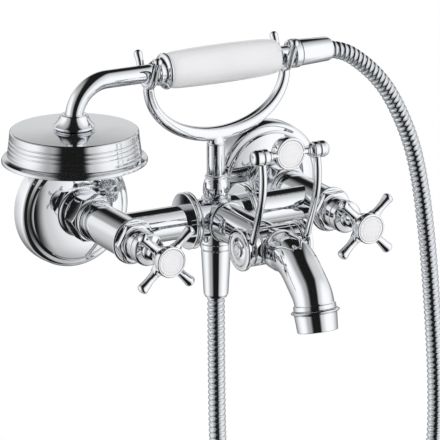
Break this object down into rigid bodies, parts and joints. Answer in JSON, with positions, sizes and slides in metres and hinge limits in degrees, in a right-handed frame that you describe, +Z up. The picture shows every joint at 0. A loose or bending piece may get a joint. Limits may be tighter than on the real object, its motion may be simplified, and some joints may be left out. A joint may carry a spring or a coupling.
{
  "type": "wall-mounted bath mixer with hand shower",
  "caption": "Traditional chrome bath mixer for a wall: cross handles, curved spout, diverter with a stirrup lever, and a hand shower with a porcelain grip resting in a forked cradle on a hose.",
  "frame": {"origin": "on the wall's face, midway between the two supply unions", "axes": "+X along the wall to the user's right, +Y into the wall, +Z up; the mixer reaches out along -Y"},
  "size_m": [0.3321, 0.2328, 0.4657],
  "materials": {
    "chrome": "polished plating on brass",
    "hose_chrome": "ribbed plated metal hose",
    "porcelain": "white glaze on porcelain",
    "brass": "machined",
    "steel": "plain screw steel",
    "rubber": "matt",
    "grey_plastic": "moulded",
    "tie_plastic": "moulded"
  },
  "bodies": {
    "mixer": {"aerator": "grey_plastic", "bonnet_left": "chrome", "bonnet_right": "chrome", "cradle": "chrome", "diverter_body": "chrome", "diverter_glands": "brass", "headwork_left": "brass", "headwork_right": "brass", "hose_handset_run": "hose_chrome", "hose_loop": "hose_chrome", "hose_nut_supply": "chrome", "hose_supply_run": "hose_chrome", "hose_tie": "tie_plastic", "hose_washer_supply": "rubber", "mixer_body": "chrome", "outlet_nipple": "chrome", "riser": "chrome", "rosette_left": "chrome", "rosette_right": "chrome", "spout": "chrome", "spout_nozzle": "chrome", "supply_union_left": "brass", "supply_union_right": "brass", "union_nut_left": "chrome", "union_nut_right": "chrome", "union_washer_left": "rubber", "union_washer_right": "rubber"},
    "left_handle": {"cross_handle_left": "chrome", "handle_bezel_left": "chrome", "handle_disc_left": "porcelain", "handle_screw_left": "steel", "spindle_left": "brass"},
    "right_handle": {"cross_handle_right": "chrome", "handle_bezel_right": "chrome", "handle_disc_right": "porcelain", "handle_screw_right": "steel", "spindle_right": "brass"},
    "lever": {"diverter_lever": "chrome", "diverter_rotor": "brass", "lever_bezel": "chrome", "lever_disc": "porcelain", "lever_cap_left": "chrome", "lever_cap_right": "chrome"},
    "handset": {"grip": "porcelain", "grip_stay": "brass", "front_ferrule": "chrome", "rear_ferrule": "chrome", "neck_tube": "chrome", "head_nut": "chrome", "head_backnut": "brass", "head_shell": "chrome", "spray_plate": "chrome", "spray_nozzles": "rubber", "hose_nut_handset": "chrome", "hose_washer_handset": "rubber"}
  },
  "joints": [
    {"name": "left_handle_turn", "type": "hinge", "parent": "mixer", "child": "left_handle", "pos_m": [-0.075, -0.1, 0], "axis": [0, 1, 0], "range_deg": [0, 90]},
    {"name": "right_handle_turn", "type": "hinge", "parent": "mixer", "child": "right_handle", "pos_m": [0.075, -0.1, 0], "axis": [0, 1, 0], "range_deg": [0, 90]},
    {"name": "diverter_turn", "type": "hinge", "parent": "mixer", "child": "lever", "pos_m": [0, -0.1444, 0], "axis": [1, 0, 0], "range_deg": [0, 45]},
    {"name": "handset_lift", "type": "slide", "parent": "mixer", "child": "handset", "axis": [0, 0, 1], "range_m": [0, 0.045], "deforming": ["hose_handset_run"]}
  ]
}
